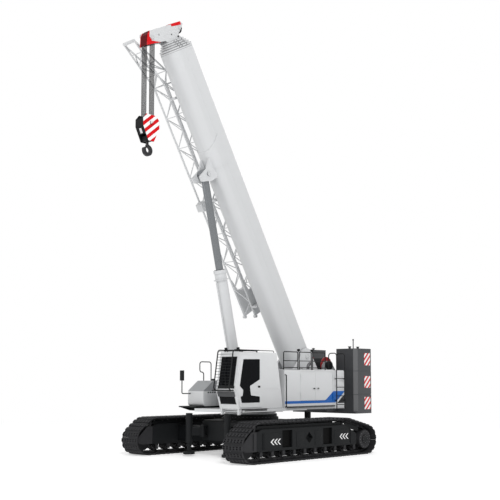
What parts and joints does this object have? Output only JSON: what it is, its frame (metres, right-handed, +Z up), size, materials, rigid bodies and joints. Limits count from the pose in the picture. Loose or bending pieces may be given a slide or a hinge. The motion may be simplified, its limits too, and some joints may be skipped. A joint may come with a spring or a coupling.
{
  "type": "crawler crane",
  "caption": "Telescopic-boom crawler crane with raised boom, luffing cylinder, stowed lattice jib, cab, counterweight and hanging hook block on crawler tracks.",
  "frame": {"origin": "on the ground under the slewing axis", "axes": "+X forward along the tracks and under the boom, +Y left, +Z up"},
  "size_m": [9.6507, 5.6, 13.9215],
  "materials": {
    "painted_light": "satin paint",
    "painted_boom": "satin paint",
    "painted_black": "satin paint",
    "painted_dark": "satin paint",
    "painted_red": "satin paint",
    "track_steel": "worn dark steel",
    "machined_steel": "machined",
    "rope_steel": "greased wire rope",
    "glass_tint": "dark tinted",
    "seat_fabric": "woven"
  },
  "bodies": {
    "undercarriage": {"carbody": "painted_black", "cross_beam_front": "painted_black", "cross_beam_rear": "painted_black", "slew_ring_lower": "painted_black", "track_frame_left": "painted_black", "track_frame_right": "painted_black", "track_left": "track_steel", "track_right": "track_steel", "running_gear_left": "track_steel", "running_gear_right": "track_steel"},
    "upper": {"turntable": "painted_light", "side_decks": "painted_black", "cab_shell": "painted_light", "cab_glass": "glass_tint", "cab_interior": "seat_fabric", "front_guard": "painted_black", "house_left": "painted_light", "engine_block": "painted_dark", "ladder": "painted_black", "roof_handrails": "painted_black", "house_right": "painted_light", "tank_box": "painted_light", "right_fittings": "painted_black", "tail_frame": "painted_dark", "counterweight_left": "painted_dark", "counterweight_right": "painted_dark"},
    "winch_drum_main": {"winch_drum_main": "painted_red"},
    "winch_drum_aux": {"winch_drum_aux": "painted_red"},
    "cab_door": {"cab_door": "painted_light", "cab_door_glass": "glass_tint"},
    "service_door_front": {"service_door_front": "painted_light"},
    "service_door_rear": {"service_door_rear": "painted_light"},
    "boom_base": {"boom_base": "painted_boom", "jib_lattice": "painted_boom", "jib_brackets": "painted_boom"},
    "boom_section_2": {"boom_section_2": "painted_boom"},
    "boom_section_3": {"boom_section_3": "painted_boom"},
    "boom_section_4": {"boom_section_4": "painted_boom"},
    "boom_section_5": {"boom_section_5": "painted_boom", "boom_head": "painted_boom", "head_sheaves": "track_steel", "head_guards": "painted_red"},
    "luff_rod": {"luff_rod": "machined_steel"},
    "luff_barrel": {"luff_barrel": "painted_boom"},
    "hoist_falls": {"hoist_falls": "rope_steel", "rope_guard": "painted_red"},
    "hook_block": {"hook_block": "painted_dark", "block_sheaves": "track_steel"},
    "hook": {"hook": "track_steel"},
    "jack_arm_front_left": {"jack_arm_front_left": "painted_black"},
    "jack_foot_front_left": {"jack_foot_front_left": "painted_black"},
    "jack_arm_front_right": {"jack_arm_front_right": "painted_black"},
    "jack_foot_front_right": {"jack_foot_front_right": "painted_black"},
    "jack_arm_rear_left": {"jack_arm_rear_left": "painted_black"},
    "jack_foot_rear_left": {"jack_foot_rear_left": "painted_black"},
    "jack_arm_rear_right": {"jack_arm_rear_right": "painted_black"},
    "jack_foot_rear_right": {"jack_foot_rear_right": "painted_black"}
  },
  "joints": [
    {"name": "slew", "type": "hinge", "parent": "undercarriage", "child": "upper", "pos_m": [0, 0, 0], "axis": [0, 0, 1], "continuous": true},
    {"name": "boom_luff", "type": "hinge", "parent": "upper", "child": "boom_base", "pos_m": [-2.34, 0, 3.3], "axis": [0, -1, 0], "range_deg": [-59.8, 22.2]},
    {"name": "telescope_2", "type": "slide", "parent": "boom_base", "child": "boom_section_2", "axis": [0.503, 0, 0.8643], "range_m": [0, 10.4]},
    {"name": "telescope_3", "type": "slide", "parent": "boom_section_2", "child": "boom_section_3", "axis": [0.503, 0, 0.8643], "range_m": [0, 10.4]},
    {"name": "telescope_4", "type": "slide", "parent": "boom_section_3", "child": "boom_section_4", "axis": [0.503, 0, 0.8643], "range_m": [0, 10.4]},
    {"name": "telescope_5", "type": "slide", "parent": "boom_section_4", "child": "boom_section_5", "axis": [0.503, 0, 0.8643], "range_m": [0, 10.4]},
    {"name": "luff_rod_turn", "type": "hinge", "parent": "boom_base", "child": "luff_rod", "pos_m": [2.17943, 0, 9.15073], "axis": [0, -1, 0], "range_deg": [-16, 6]},
    {"name": "luff_extend", "type": "slide", "parent": "luff_rod", "child": "luff_barrel", "axis": [-0.2277, 0, -0.9737], "range_m": [-2.8485, 1.0578]},
    {"name": "falls_plumb", "type": "hinge", "parent": "boom_section_5", "child": "hoist_falls", "pos_m": [4.57071, 0, 13.04664], "axis": [0, -1, 0], "range_deg": [-22.3, 59.9]},
    {"name": "hoist", "type": "slide", "parent": "hoist_falls", "child": "hook_block", "axis": [0, 0, -1], "range_m": [-1.2, 9.3], "deforming": ["hoist_falls"]},
    {"name": "hook_swivel", "type": "hinge", "parent": "hook_block", "child": "hook", "pos_m": [4.57071, 0, 10.34664], "axis": [0, 0, 1], "continuous": true},
    {"name": "winch_turn_main", "type": "hinge", "parent": "upper", "child": "winch_drum_main", "pos_m": [-3.78, 0, 2.23], "axis": [0, 1, 0], "continuous": true},
    {"name": "winch_turn_aux", "type": "hinge", "parent": "upper", "child": "winch_drum_aux", "pos_m": [-3.6, 0, 3], "axis": [0, 1, 0], "continuous": true},
    {"name": "cab_door_slide", "type": "slide", "parent": "upper", "child": "cab_door", "axis": [-1, 0, 0], "range_m": [0, 0.75]},
    {"name": "service_door_front_swing", "type": "hinge", "parent": "upper", "child": "service_door_front", "pos_m": [-0.843, 1.516, 2.25], "axis": [0, 0, -1], "range_deg": [0, 95]},
    {"name": "service_door_rear_swing", "type": "hinge", "parent": "upper", "child": "service_door_rear", "pos_m": [-2.537, 1.516, 2.25], "axis": [0, 0, 1], "range_deg": [0, 95]},
    {"name": "jack_swing_front_left", "type": "hinge", "parent": "undercarriage", "child": "jack_arm_front_left", "pos_m": [1.56, 0.68, 0.8], "axis": [0, 0, 1], "range_deg": [0, 40]},
    {"name": "jack_lower_front_left", "type": "slide", "parent": "jack_arm_front_left", "child": "jack_foot_front_left", "axis": [0, 0, -1], "range_m": [0, 0.5]},
    {"name": "jack_swing_front_right", "type": "hinge", "parent": "undercarriage", "child": "jack_arm_front_right", "pos_m": [1.56, -0.68, 0.8], "axis": [0, 0, -1], "range_deg": [0, 40]},
    {"name": "jack_lower_front_right", "type": "slide", "parent": "jack_arm_front_right", "child": "jack_foot_front_right", "axis": [0, 0, -1], "range_m": [0, 0.5]},
    {"name": "jack_swing_rear_left", "type": "hinge", "parent": "undercarriage", "child": "jack_arm_rear_left", "pos_m": [-1.29, 0.68, 0.8], "axis": [0, 0, -1], "range_deg": [0, 40]},
    {"name": "jack_lower_rear_left", "type": "slide", "parent": "jack_arm_rear_left", "child": "jack_foot_rear_left", "axis": [0, 0, -1], "range_m": [0, 0.5]},
    {"name": "jack_swing_rear_right", "type": "hinge", "parent": "undercarriage", "child": "jack_arm_rear_right", "pos_m": [-1.29, -0.68, 0.8], "axis": [0, 0, 1], "range_deg": [0, 40]},
    {"name": "jack_lower_rear_right", "type": "slide", "parent": "jack_arm_rear_right", "child": "jack_foot_rear_right", "axis": [0, 0, -1], "range_m": [0, 0.5]}
  ],
  "couplings": [
    {"joint": "telescope_3", "follows": "telescope_2", "ratio": 1},
    {"joint": "telescope_4", "follows": "telescope_2", "ratio": 1},
    {"joint": "telescope_5", "follows": "telescope_2", "ratio": 1},
    {"joint": "luff_rod_turn", "follows": "boom_luff", "ratio": 0.21299},
    {"joint": "luff_extend", "follows": "boom_luff", "m_per_rad": 2.7288},
    {"joint": "falls_plumb", "follows": "boom_luff", "ratio": -1}
  ]
}
